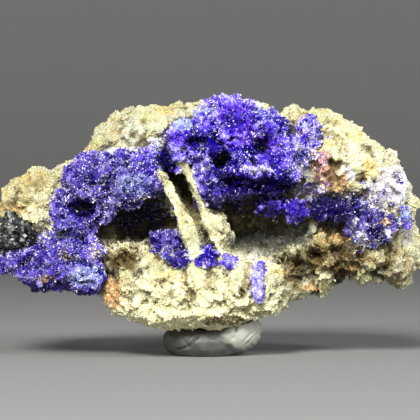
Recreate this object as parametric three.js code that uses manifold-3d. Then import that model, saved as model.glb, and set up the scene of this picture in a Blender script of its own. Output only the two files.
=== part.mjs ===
// A linarite specimen: deep blue crystal crusts on a cream, iron-stained quartz matrix with one long
// cave across its face, two thin quartz walls in the cave, and a lump of mounting putty as its foot.
// Millimetres, +Z up, the face looks along -Y. The origin is under the middle of the bounding box.
import * as THREE from "three";
import { mergeVertices } from "three/addons/utils/BufferGeometryUtils.js";
import Module from "manifold-3d";

const wasm = await Module();
wasm.setup();

// Driving dimensions.
const GAP = 0.3; // clear space between any two pieces
const SLAB_CENTRE = { x: -0.6, y: 0.5, z: 17.9 };
const SLAB_FRONT = 6.0; // depth of the matrix slab in front of its centre
const SLAB_BACK = 10.5; // and behind it
const SLAB_FULLNESS = 0.55; // 1 is an ellipsoid's edge, less is squarer
const SLAB_BLUNTNESS = 0.8; // the same for how the slab closes from its edge to its front and back
const SLAB_STEPS = { around: 46, across: 11 };
const LUMP_DETAIL = 2; // how finely the large lumps are faceted
const SMALL_DETAIL = 1; // and the small ones
const SMALL_LUMP = 3.2; // a lump is small up to this half size
const SWELL = 0.09; // how far a lump's surface swells, as a share of its size
const SWELL_LENGTH = 9; // and how far apart the swells are
const MERGE_DISTANCE = 1e-4;
const REACH_SAMPLES = 720; // points on the outline's curve
const WALL_STEPS = 14; // points along each edge of a wall
const TRIM_BLOCK = { wide: 80, thick: 20 }; // larger than the specimen
const FOOT_FACE = 0; // height of the surface that the putty stands on

// The matrix seen from the front: x, z, clockwise from the left tip.
const OUTLINE = [
  [-27.2, 15.5],
  [-27.0, 19.9],
  [-25.8, 22.1],
  [-22.6, 23.7],
  [-18.8, 23.5],
  [-16.2, 25.6],
  [-14.9, 27.2],
  [-13.9, 29.7],
  [-11.2, 30.9],
  [-8.6, 31.8],
  [-5.0, 31.9],
  [-2.5, 32.0],
  [1.0, 32.8],
  [3.8, 32.6],
  [6.2, 32.4],
  [8.7, 30.9],
  [10.4, 31.9],
  [12.6, 30.8],
  [15.0, 31.1],
  [17.6, 29.6],
  [20.2, 28.1],
  [23.7, 25.0],
  [24.4, 21.6],
  [25.6, 18.9],
  [26.9, 15.0],
  [27.0, 11.6],
  [26.4, 9.0],
  [24.2, 8.0],
  [21.4, 8.5],
  [16.8, 10.2],
  [14.0, 7.8],
  [11.2, 7.4],
  [8.4, 5.8],
  [3.8, 4.8],
  [-1.2, 3.8],
  [-5.6, 3.7],
  [-8.8, 4.1],
  [-11.2, 5.2],
  [-13.8, 7.6],
  [-16.2, 8.0],
  [-21.2, 8.8],
  [-25.0, 10.6],
];

// Lumps are stretched balls: centre, half sizes, and a turn in degrees about the viewing axis.
const MATRIX_LUMPS = [
  { at: [-2.4, -4.4, 8.7], size: [11.6, 7.2, 5.2], turn: 0 }, // lower lip
  { at: [5.6, -3.8, 9.0], size: [4.9, 6.2, 3.5], turn: 14 }, // right end of the lip
  { at: [-11.4, -4.6, 12.0], size: [3.8, 4.0, 2.6], turn: 0 }, // sill of the left vug
  { at: [15.2, -3.2, 12.8], size: [4.4, 4.6, 3.2], turn: 6 }, // sill of the shallow end of the cave
  { at: [-10.4, -3.0, 22.0], size: [6.6, 6.6, 5.4], turn: -34 }, // behind the shoulder crust
  { at: [-21.7, -2.6, 20.0], size: [4.6, 5.6, 3.7], turn: -6 }, // left knob
  { at: [-17.0, -2.4, 18.6], size: [4.4, 5.6, 4.4], turn: 0 }, // between knob and shoulder
  { at: [-18.4, -1.8, 12.8], size: [7.4, 4.6, 3.4], turn: 0 }, // behind the foot crust
  { at: [-7.4, -1.6, 27.4], size: [7.0, 5.6, 4.2], turn: -8 }, // upper left ridge
  { at: [3.4, -2.6, 27.0], size: [8.2, 5.6, 5.0], turn: 4 }, // behind the crown crust
  { at: [15.2, -3.2, 24.6], size: [8.2, 6.4, 5.6], turn: 34 }, // right shoulder
  { at: [21.4, -2.4, 19.0], size: [4.8, 6.0, 5.4], turn: 30 }, // right cheek
  { at: [18.6, -1.4, 12.5], size: [7.6, 4.8, 3.4], turn: -3 }, // right foot
  { at: [10.7, -1.2, 30.3], size: [1.6, 3.6, 1.6], turn: 0 }, // knob beside the crown
];
const CAVE_LUMPS = [
  { at: [-8.8, -6.8, 17.2], size: [6.2, 9.2, 3.7], turn: -8 }, // left vug
  { at: [-3.3, -6.8, 20.4], size: [2.9, 8.4, 6.8], turn: -22 }, // slot between the walls
  { at: [5.2, -7.4, 16.6], size: [7.6, 9.4, 4.4], turn: 4 }, // right cave
  { at: [14.2, -10.6, 17.0], size: [5.6, 5.6, 2.6], turn: 2 }, // shallow right end of the cave
];
// Flat breaks on the hidden side, where the piece was trimmed from its vein.
const BREAKS = [
  { at: [-17.0, 8.4, 17.0], normal: [-0.42, 0.88, 0.2] },
  { at: [16.5, 8.6, 20.0], normal: [0.38, 0.88, 0.28] },
  { at: [2.0, 10.2, 22.0], normal: [0.02, 0.96, 0.28] },
  { at: [2.0, 8.4, 8.8], normal: [0.05, 0.72, -0.69] },
];
// Thin walls across the cave: x, z and half thickness along each one, from roof to floor.
const WALLS = [
  {
    line: [
      [-8.8, 25.2, 0.6],
      [-6.5, 23.2, 0.4],
      [-5.3, 21.5, 0.45],
      [-3.9, 18.5, 0.6],
      [-2.6, 15.6, 0.9],
      [-1.9, 13.2, 0.85],
      [-1.8, 9.6, 0.6],
    ],
    front: -9.8,
    back: -0.5,
  },
  {
    line: [
      [-4.6, 25.6, 0.6],
      [-2.9, 23.4, 0.36],
      [-1.4, 20.0, 0.3],
      [-0.3, 16.6, 0.28],
      [1.1, 13.8, 0.34],
      [3.4, 11.2, 0.6],
    ],
    front: -8.8,
    back: -0.5,
  },
];
const WEB_LUMP = { at: [1.0, -5.8, 16.2], size: [1.2, 3.4, 2.5], turn: -28 };

// Crusts: each is one patch of crystals that grew together, with the pits that open in it.
const CRUSTS = {
  linarite_shoulder: {
    lumps: [
      { at: [-14.6, -7.4, 21.4], size: [3.9, 4.6, 4.7], turn: 0 },
      { at: [-16.4, -7.0, 19.0], size: [3.7, 4.2, 3.5], turn: 0 },
      { at: [-10.2, -8.0, 22.4], size: [4.5, 4.6, 3.5], turn: -10 },
      { at: [-8.3, -7.8, 23.4], size: [2.1, 3.6, 3.3], turn: 24 },
    ],
    pits: [{ at: [-15.8, -11.6, 18.9], size: [1.3, 2.4, 0.8], turn: -12 }],
  },
  linarite_foot: {
    lumps: [
      { at: [-16.2, -5.6, 12.0], size: [3.5, 4.8, 4.1], turn: 0 },
      { at: [-19.4, -5.2, 12.2], size: [4.0, 4.6, 3.6], turn: 14 },
      { at: [-23.2, -4.2, 11.6], size: [3.6, 4.4, 2.4], turn: 10 },
    ],
    pits: [],
  },
  linarite_crown: {
    lumps: [
      { at: [2.2, -6.2, 29.2], size: [4.4, 4.4, 3.7], turn: 0 },
      { at: [6.6, -6.4, 27.6], size: [3.7, 4.2, 3.6], turn: 14 },
      { at: [-1.8, -6.6, 27.2], size: [3.6, 4.0, 2.9], turn: -18 },
      { at: [2.4, -7.8, 24.0], size: [4.4, 4.2, 4.2], turn: 0 },
      { at: [7.6, -7.4, 24.2], size: [3.6, 4.0, 4.0], turn: 10 },
      { at: [-4.0, -6.8, 26.2], size: [1.7, 3.2, 2.8], turn: 8 },
      { at: [0.5, -7.0, 21.2], size: [1.8, 3.6, 2.2], turn: -20 },
    ],
    pits: [
      { at: [1.4, -11.8, 24.8], size: [0.95, 2.8, 1.15], turn: 10 },
      { at: [6.6, -10.8, 26.5], size: [1.0, 2.6, 0.6], turn: -10 },
    ],
  },
  linarite_vug_lining: {
    lumps: [
      { at: [-5.0, -5.0, 13.4], size: [2.3, 3.4, 3.3], turn: -30 },
      { at: [-4.0, -8.2, 12.0], size: [1.6, 3.0, 1.8], turn: -20 },
    ],
    pits: [],
  },
  linarite_knot: { lumps: [{ at: [-0.5, -8.8, 12.4], size: [1.4, 2.4, 1.2], turn: -6 }], pits: [] },
  linarite_chip: { lumps: [{ at: [2.3, -9.4, 12.0], size: [0.9, 2.0, 0.8], turn: -20 }], pits: [] },
  linarite_streak: { lumps: [{ at: [5.9, -8.8, 9.7], size: [0.95, 2.2, 2.5], turn: 4 }], pits: [] },
  linarite_ball: {
    lumps: [
      { at: [10.6, -7.0, 18.5], size: [1.7, 2.4, 1.6], turn: 0 },
      { at: [7.7, -5.6, 19.1], size: [1.9, 2.6, 1.6], turn: 0 },
    ],
    pits: [],
  },
  linarite_cheek: {
    lumps: [
      { at: [20.1, -6.6, 16.9], size: [2.7, 3.8, 2.6], turn: 10 },
      { at: [17.2, -6.4, 18.4], size: [2.6, 3.0, 1.8], turn: 24 },
      { at: [14.4, -5.6, 18.6], size: [1.9, 2.6, 1.5], turn: 0 },
    ],
    pits: [],
  },
  linarite_eye: { lumps: [{ at: [24.0, -5.6, 18.0], size: [1.2, 2.8, 1.7], turn: 0 }], pits: [] },
  linarite_drift: { lumps: [{ at: [12.3, -7.4, 26.9], size: [2.1, 2.8, 3.2], turn: 8 }], pits: [] },
};
const GALENA_LUMPS = [{ at: [-24.4, -4.4, 15.6], size: [2.4, 3.6, 2.3], turn: -10 }];
const PUTTY_LUMPS = [
  { at: [-0.8, 0.2, 1.9], size: [5.6, 6.4, 2.8], turn: 0 },
  { at: [2.4, 0.2, 2.8], size: [4.5, 6.0, 2.9], turn: -9 },
];

const CREAM = new THREE.MeshStandardMaterial({ color: 0xcdbb85, roughness: 0.9, metalness: 0 });
const BLUE = new THREE.MeshStandardMaterial({ color: 0x2b1fa8, roughness: 0.25, metalness: 0 });
const LEAD_GREY = new THREE.MeshStandardMaterial({ color: 0x3c4044, roughness: 0.4, metalness: 0.7 });
const PUTTY_GREY = new THREE.MeshStandardMaterial({ color: 0x85857c, roughness: 0.5, metalness: 0 });

// A closed geometry as a solid that can be joined and cut.
function solidOf(geometry) {
  geometry.deleteAttribute("normal");
  geometry.deleteAttribute("uv");
  const merged = mergeVertices(geometry, MERGE_DISTANCE);
  return new wasm.Manifold(
    new wasm.Mesh({
      numProp: 3,
      vertProperties: new Float32Array(merged.attributes.position.array),
      triVerts: new Uint32Array(merged.index.array),
    }),
  );
}

// Smooth unevenness between -1 and 1.
function unevenness(point) {
  const k = (2 * Math.PI) / SWELL_LENGTH;
  const waves = [
    Math.sin(point.x * k + 1.3) * Math.cos(point.z * k * 0.8),
    Math.sin(point.y * k * 1.2 + 0.4) * Math.cos(point.x * k * 0.9 + 2.1),
    Math.sin(point.z * k * 1.1 + 4.2) * Math.cos(point.y * k),
  ];
  return waves.reduce((sum, wave) => sum + wave, 0) / waves.length;
}

function eachVertex(geometry, change) {
  const positions = geometry.attributes.position;
  const point = new THREE.Vector3();
  for (let i = 0; i < positions.count; i += 1) {
    point.fromBufferAttribute(positions, i);
    change(point);
    positions.setXYZ(i, point.x, point.y, point.z);
  }
  return geometry;
}

// A stretched, slightly uneven ball; grow moves its surface outwards.
function lump({ at, size, turn }, grow) {
  const detail = Math.max(...size) > SMALL_LUMP ? LUMP_DETAIL : SMALL_DETAIL;
  const geometry = new THREE.IcosahedronGeometry(1, detail);
  const axis = new THREE.Vector3(0, 1, 0);
  eachVertex(geometry, (point) => {
    const swell = 1 + SWELL * unevenness(point.clone().multiply(new THREE.Vector3(...size)));
    point.x *= size[0] * swell + grow;
    point.y *= size[1] * swell + grow;
    point.z *= size[2] * swell + grow;
    point.applyAxisAngle(axis, THREE.MathUtils.degToRad(turn));
    point.x += at[0];
    point.y += at[1];
    point.z += at[2];
  });
  return solidOf(geometry);
}

function joined(solids) {
  return solids.reduce((whole, next) => whole.add(next));
}

// Distance from the slab's centre to the outline, along a direction in the front view.
function outlineReach() {
  const points = OUTLINE.map(([x, z]) => new THREE.Vector3(x - SLAB_CENTRE.x, 0, z - SLAB_CENTRE.z));
  const curve = new THREE.CatmullRomCurve3(points, true, "centripetal");
  const samples = curve
    .getSpacedPoints(REACH_SAMPLES)
    .map((point) => [Math.atan2(point.z, point.x), Math.hypot(point.x, point.z)]);
  samples.sort((a, b) => a[0] - b[0]);
  return (angle) => {
    const next = samples.findIndex(([a]) => a >= angle);
    return samples[next < 0 ? 0 : next][1];
  };
}

// The matrix slab: the outline at mid depth, closing to a blunt front and a deeper back.
function slab(grow) {
  const reach = outlineReach();
  const geometry = new THREE.SphereGeometry(1, SLAB_STEPS.around, SLAB_STEPS.across);
  eachVertex(geometry, (point) => {
    const flat = Math.hypot(point.x, point.z);
    const angle = Math.atan2(point.z, point.x);
    const side = Math.min(1, flat) ** SLAB_FULLNESS;
    const depth = point.y < 0 ? SLAB_FRONT : SLAB_BACK;
    const radius = (reach(angle) + grow) * side;
    point.x = SLAB_CENTRE.x + radius * Math.cos(angle);
    point.z = SLAB_CENTRE.z + radius * Math.sin(angle);
    point.y = SLAB_CENTRE.y + Math.sign(point.y) * Math.abs(point.y) ** SLAB_BLUNTNESS * (depth + grow);
  });
  return solidOf(geometry);
}

// A thick flat block behind a plane, to trim with.
function breakBlock({ at, normal }, grow) {
  const block = new THREE.BoxGeometry(TRIM_BLOCK.wide, TRIM_BLOCK.wide, TRIM_BLOCK.thick);
  block.translate(0, 0, TRIM_BLOCK.thick / 2 + grow);
  const direction = new THREE.Vector3(...normal).normalize();
  block.applyQuaternion(new THREE.Quaternion().setFromUnitVectors(new THREE.Vector3(0, 0, 1), direction));
  block.translate(...at);
  return solidOf(block);
}

// A thin standing wall: its centreline thickened in the front view and extruded back into the cave.
function wall({ line, front, back }, grow) {
  const edge = (side) => {
    const points = line.map(([x, z, half], i) => {
      const before = line[Math.max(0, i - 1)];
      const after = line[Math.min(line.length - 1, i + 1)];
      const along = new THREE.Vector2(after[0] - before[0], after[1] - before[1]).normalize();
      const offset = side * (half + grow);
      return new THREE.Vector2(x - along.y * offset, z + along.x * offset);
    });
    return new THREE.SplineCurve(points).getPoints(WALL_STEPS);
  };
  const shape = new THREE.Shape([...edge(1), ...edge(-1).reverse()]);
  const depth = back - front + 2 * grow;
  const geometry = new THREE.ExtrudeGeometry(shape, { depth, bevelEnabled: false, steps: 1 });
  geometry.rotateX(Math.PI / 2); // the shape's y becomes z, the depth runs along -y
  geometry.translate(0, back + grow, 0);
  return solidOf(geometry);
}

function matrixSolid(grow) {
  const body = joined([slab(grow), ...MATRIX_LUMPS.map((l) => lump(l, grow))]);
  const caves = joined(CAVE_LUMPS.map((l) => lump(l, -grow)));
  const breaks = joined(BREAKS.map((b) => breakBlock(b, grow)));
  const walls = joined([...WALLS.map((w) => wall(w, grow)), lump(WEB_LUMP, grow)]);
  return body.subtract(caves).add(walls).subtract(breaks);
}

function largestOf(solid) {
  return solid.decompose().reduce((best, next) => (next.volume() > best.volume() ? next : best));
}

function meshOf(name, solid, material) {
  const { numProp, vertProperties, triVerts } = solid.getMesh();
  const positions = new Float32Array((vertProperties.length / numProp) * 3);
  for (let i = 0; i < positions.length / 3; i += 1) {
    positions.set(vertProperties.subarray(i * numProp, i * numProp + 3), i * 3);
  }
  const geometry = new THREE.BufferGeometry();
  geometry.setAttribute("position", new THREE.BufferAttribute(positions, 3));
  geometry.setIndex(new THREE.BufferAttribute(triVerts, 1));
  geometry.computeVertexNormals();
  const mesh = new THREE.Mesh(geometry, material);
  mesh.name = name;
  return mesh;
}

const specimen = new THREE.Group();
const matrix = matrixSolid(0);
const matrixWithGap = matrixSolid(GAP);
specimen.add(meshOf("matrix", largestOf(matrix), CREAM));

// Each patch sits on the matrix and clear of the patches made before it.
let taken = matrixWithGap;
function addPatch(name, { lumps, pits }, material) {
  const filled = joined(lumps.map((l) => lump(l, 0)));
  const opened = pits.reduce((patch, pit) => patch.subtract(lump(pit, 0)), filled);
  specimen.add(meshOf(name, largestOf(opened.subtract(taken)), material));
  taken = taken.add(joined(lumps.map((l) => lump(l, GAP))));
}
for (const [name, crust] of Object.entries(CRUSTS)) {
  addPatch(name, crust, BLUE);
}
addPatch("galena_patch", { lumps: GALENA_LUMPS, pits: [] }, LEAD_GREY);

// The putty is pressed flat on the surface it stands on and moulded up to the matrix.
const underSurface = new THREE.BoxGeometry(TRIM_BLOCK.wide, TRIM_BLOCK.wide, TRIM_BLOCK.thick);
underSurface.translate(0, 0, FOOT_FACE - TRIM_BLOCK.thick / 2);
const putty = joined(PUTTY_LUMPS.map((l) => lump(l, 0)))
  .subtract(matrixWithGap)
  .subtract(solidOf(underSurface));
specimen.add(meshOf("mounting_putty", largestOf(putty), PUTTY_GREY));

// The origin goes under the middle of the bounding box.
const bounds = new THREE.Box3().setFromObject(specimen);
const middle = bounds.getCenter(new THREE.Vector3());
specimen.position.set(-middle.x, -middle.y, -bounds.min.z);

export default specimen;
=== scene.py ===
"""A linarite specimen: blue crystal crusts on rough, iron-stained quartz rock, standing on a lump of putty.

Modelling is done in millimetres and every finished mesh is put back into metres. Each crust is a lumpy
bed that follows its CAD node, covered with small crystals; the rock is its CAD node weathered into chips
and pits, with loose quartz grains on it. Stains, painted shade and painted light are masks painted on
the meshes and broken up by noise.
"""
import math

import bmesh
import bpy
import numpy as np
from mathutils import Matrix, Vector
from mathutils.bvhtree import BVHTree


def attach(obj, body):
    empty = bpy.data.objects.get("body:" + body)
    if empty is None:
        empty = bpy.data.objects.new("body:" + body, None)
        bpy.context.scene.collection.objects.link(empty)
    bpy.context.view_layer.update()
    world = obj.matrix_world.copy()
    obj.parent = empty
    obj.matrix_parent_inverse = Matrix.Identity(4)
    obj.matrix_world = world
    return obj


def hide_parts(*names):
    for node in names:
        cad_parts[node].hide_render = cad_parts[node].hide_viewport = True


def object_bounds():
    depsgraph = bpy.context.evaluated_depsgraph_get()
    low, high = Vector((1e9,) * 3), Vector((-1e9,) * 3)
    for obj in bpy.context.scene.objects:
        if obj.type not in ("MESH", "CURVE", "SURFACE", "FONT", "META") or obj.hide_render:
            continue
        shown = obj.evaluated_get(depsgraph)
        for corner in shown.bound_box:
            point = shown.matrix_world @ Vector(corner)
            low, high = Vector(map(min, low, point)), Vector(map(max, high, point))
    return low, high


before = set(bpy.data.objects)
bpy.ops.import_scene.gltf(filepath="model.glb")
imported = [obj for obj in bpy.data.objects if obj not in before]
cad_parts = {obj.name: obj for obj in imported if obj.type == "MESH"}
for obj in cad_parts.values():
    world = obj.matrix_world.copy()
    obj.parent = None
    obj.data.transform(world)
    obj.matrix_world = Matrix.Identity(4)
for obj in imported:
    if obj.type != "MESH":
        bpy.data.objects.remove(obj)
cad_low, cad_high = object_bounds()

PER_METRE = 1000.0  # millimetres in a metre


# ---- Node trees ----
class Nodes:
    """Adds nodes to a tree, taking each input as a plain value or as the socket that feeds it."""

    def __init__(self, tree):
        self.tree = tree

    def feed(self, socket, value):
        if isinstance(value, bpy.types.NodeSocket):
            self.tree.links.new(value, socket)
        else:
            socket.default_value = (*value, 1.0) if socket.type == "RGBA" else value

    def add(self, kind, values=(), **settings):
        node = self.tree.nodes.new(kind)
        for name, value in settings.items():
            setattr(node, name, value)
        for key, value in dict(values).items():
            self.feed(node.inputs[key], value)
        return node

    def math(self, operation, *values):
        return self.add("ShaderNodeMath", enumerate(values), operation=operation).outputs[0]

    def plus(self, first, second):
        return self.math("ADD", first, second)

    def minus(self, first, second):
        return self.math("SUBTRACT", first, second)

    def times(self, first, second):
        return self.math("MULTIPLY", first, second)

    def about_zero(self, value, height):
        """A value between 0 and 1, moved to lie about 0 and scaled to the height."""
        return self.times(self.minus(value, 0.5), height)

    def vector(self, operation, *values):
        node = self.add("ShaderNodeVectorMath", enumerate(values), operation=operation)
        return node.outputs[1 if operation in ("DOT_PRODUCT", "LENGTH") else 0]

    def scaled(self, vector, factor):
        return self.add("ShaderNodeVectorMath", {0: vector, "Scale": factor}, operation="SCALE").outputs[0]

    def first_part(self, vector):
        return self.add("ShaderNodeSeparateXYZ", {0: vector}).outputs[0]

    def ramp(self, value, low, high, to_low=0.0, to_high=1.0):
        """A smooth step from to_low to to_high as value goes from low to high."""
        values = {"Value": value, "From Min": low, "From Max": high, "To Min": to_low, "To Max": to_high}
        return self.add("ShaderNodeMapRange", values, interpolation_type="SMOOTHSTEP").outputs[0]

    def per(self, size):
        """The texture scale that gives features about size across."""
        return self.math("DIVIDE", 1.0, size) if isinstance(size, bpy.types.NodeSocket) else 1.0 / size

    def noise(self, place, size, detail=2.0, roughness=0.5):
        values = {"Vector": place, "Scale": self.per(size), "Detail": detail, "Roughness": roughness}
        return self.add("ShaderNodeTexNoise", values).outputs[0]

    def cells(self, place, scale):
        return self.add("ShaderNodeTexVoronoi", {"Vector": place, "Scale": scale}).outputs

    def mix(self, factor, first, second, blend_type="MIX"):
        values = {0: factor, 6: first, 7: second}
        return self.add("ShaderNodeMix", values, data_type="RGBA", blend_type=blend_type).outputs[2]

    def attribute(self, name):
        """A mesh attribute in a material."""
        return self.add("ShaderNodeAttribute", attribute_name=name).outputs["Fac"]

    def named(self, name):
        """A mesh attribute in a Geometry Nodes tree."""
        return self.add("GeometryNodeInputNamedAttribute", {"Name": name}, data_type="FLOAT").outputs[0]

    def stored(self, geometry, name, value, domain):
        """The geometry with the value stored on it as an attribute."""
        values = {"Geometry": geometry, "Name": name, "Value": value}
        kind = "GeometryNodeStoreNamedAttribute"
        return self.add(kind, values, data_type="FLOAT", domain=domain).outputs[0]

    def finish_geometry(self, geometry, material):
        values = {"Geometry": geometry, "Material": material}
        self.add("NodeGroupOutput", {0: self.add("GeometryNodeSetMaterial", values).outputs[0]})

    def finish_surface(self, values):
        surface = self.add("ShaderNodeBsdfPrincipled", values)
        self.add("ShaderNodeOutputMaterial", {0: surface.outputs[0]})


def socket(tree, name, kind, value=None, direction="INPUT"):
    made = tree.interface.new_socket(name=name, in_out=direction, socket_type="NodeSocket" + kind)
    if value is not None:
        made.default_value = value


def geometry_tree(name):
    """A new Geometry Nodes tree with its geometry input and output, and what adds nodes to it."""
    tree = bpy.data.node_groups.new(name, "GeometryNodeTree")
    socket(tree, "Geometry", "Geometry")
    socket(tree, "Geometry", "Geometry", direction="OUTPUT")
    socket(tree, "Material", "Material")
    return tree, Nodes(tree)


# ---- Meshes ----
def vectors_of(items, name):
    found = np.empty(len(items) * 3, np.float32)
    items.foreach_get(name, found)
    return found.reshape(-1, 3).astype(float)


def points_of(thing):
    return vectors_of(thing.data.vertices, "co")


def normals_of(thing):
    return vectors_of(thing.data.vertex_normals, "vector")


def move_points(thing, places):
    thing.data.vertices.foreach_set("co", places.astype(np.float32).ravel())
    thing.data.update()


def store(thing, name, values):
    attributes = thing.data.attributes
    layer = attributes.get(name) or attributes.new(name, "FLOAT", "POINT")
    layer.data.foreach_set("value", values.astype(np.float32))


def fill(thing, **levels):
    """Stores each level, the same all over the mesh."""
    for name, level in levels.items():
        store(thing, name, np.full(len(thing.data.vertices), level))


def read(thing, name):
    values = np.empty(len(thing.data.vertices), np.float32)
    thing.data.attributes[name].data.foreach_get("value", values)
    return values


def link(name, data):
    thing = bpy.data.objects.new(name, data)
    bpy.context.scene.collection.objects.link(thing)
    return thing


def settle(thing):
    """Works out the object's modifiers into its mesh and takes them off."""
    bpy.context.view_layer.update()
    graph = bpy.context.evaluated_depsgraph_get()
    evaluated = thing.evaluated_get(graph)
    mesh = bpy.data.meshes.new_from_object(evaluated, preserve_all_data_layers=True, depsgraph=graph)
    thing.modifiers.clear()
    thing.data = mesh
    return thing


def even_copy(node, name, voxel, rounds):
    """A CAD node's shape as one closed mesh of even faces, smoothed a little, in millimetres."""
    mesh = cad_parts[node].data.copy()
    mesh.materials.clear()
    mesh.transform(Matrix.Scale(PER_METRE, 4))
    welded = bmesh.new()
    welded.from_mesh(mesh)
    bmesh.ops.remove_doubles(welded, verts=welded.verts, dist=0.002)
    welded.to_mesh(mesh)
    welded.free()
    thing = link(name, mesh)
    grid = thing.modifiers.new("Even", "REMESH")
    grid.mode = "VOXEL"
    grid.voxel_size = voxel
    settle(thing)
    soft = thing.modifiers.new("Soft", "SMOOTH")
    soft.factor = 0.5
    soft.iterations = rounds
    return settle(thing)


def run_tree(thing, tree, values):
    """Runs a Geometry Nodes tree on the object, with values by the tree's input names."""
    worker = thing.modifiers.new(tree.name, "NODES")
    worker.node_group = tree
    keys = {item.name: item.identifier for item in tree.interface.items_tree if item.in_out == "INPUT"}
    for name, value in values.items():
        worker[keys[name]] = value
    return settle(thing)


def share(value, low, high):
    """0 at low, 1 at high, smooth between."""
    t = np.clip((value - low) / (high - low), 0, 1)
    return t * t * (3 - 2 * t)


def shade_smooth(mesh):
    for face in mesh.polygons:
        face.use_smooth = True


def finish_piece(thing, replaced=()):
    """Puts a finished piece back into metres and onto the frame."""
    thing.data.transform(Matrix.Scale(1 / PER_METRE, 4))
    thing.data.update()
    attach(thing, "root")
    for node in replaced:
        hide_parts(node)


# ---- Weathering: swells, lumps, folds, flat chips, grains and pits, along the surface's own normal ----
def weathering_tree():
    tree, n = geometry_tree("weathering")
    for feature in ("Swell", "Lump", "Fold", "Chip", "Grain", "Pit"):
        socket(tree, feature + " Height", "Float", 0.0)
        socket(tree, feature + " Size", "Float", 1.0)
    asked = n.add("NodeGroupInput").outputs
    place = n.add("GeometryNodeInputPosition").outputs[0]
    half = (0.5, 0.5, 0.5)
    wobble = n.add("ShaderNodeTexNoise", {"Vector": place, "Scale": 0.9, "Detail": 2.0}).outputs["Color"]
    warped = n.vector("ADD", place, n.scaled(n.vector("SUBTRACT", wobble, half), 1.1))

    def scale_of(feature):
        return n.per(asked[feature + " Size"])

    def raised(feature, value, factor=1.0):
        """How much the feature moves each place, given its own pattern."""
        return n.times(value, n.times(asked[feature + " Height"], factor))

    swell = raised("Swell", n.minus(n.noise(place, asked["Swell Size"], 3.0), 0.5), 4.0)
    chips = n.cells(warped, scale_of("Chip"))
    tilt = n.vector("SUBTRACT", chips["Color"], half)
    away = n.vector("SUBTRACT", warped, chips["Position"])
    lean = n.times(n.vector("DOT_PRODUCT", away, tilt), n.times(scale_of("Chip"), 2.2))
    chip = raised("Chip", n.plus(lean, n.first_part(tilt)))
    grain = raised("Grain", n.minus(0.45, n.cells(warped, scale_of("Grain"))["Distance"]))
    pit = raised("Pit", n.ramp(n.noise(warped, asked["Pit Size"], 1.0), 0.6, 0.74))
    rounds = n.cells(warped, scale_of("Lump"))["Distance"]
    lump = raised("Lump", n.minus(0.3, n.times(rounds, rounds)))
    ridge = n.math("ABSOLUTE", n.minus(n.noise(warped, asked["Fold Size"], 4.0), 0.5))
    fold = raised("Fold", n.minus(0.08, ridge), 6.0)

    fine = n.minus(n.plus(n.plus(n.plus(chip, lump), fold), grain), pit)
    height = n.times(n.plus(fine, swell), n.minus(1.0, n.named("calm")))
    relief = n.stored(asked["Geometry"], "relief", fine, "POINT")
    offset = n.scaled(n.add("GeometryNodeInputNormal").outputs[0], height)
    moved = n.add("GeometryNodeSetPosition", {"Geometry": relief, "Offset": offset}).outputs[0]
    n.finish_geometry(moved, asked["Material"])
    return tree


WEATHERING = weathering_tree()


def weathered(thing, material, **features):
    """Wears the mesh by features given as (height, size); a pit's height is its depth."""
    values = {"Material": material}
    for name, (height, size) in features.items():
        values[name.title() + " Height"] = height
        values[name.title() + " Size"] = size
    return run_tree(thing, WEATHERING, values)


# ---- Scattering: small shapes over a surface, each leaning and turned its own way ----
SHAPE_COUNT = 5  # in every collection of shapes


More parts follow.
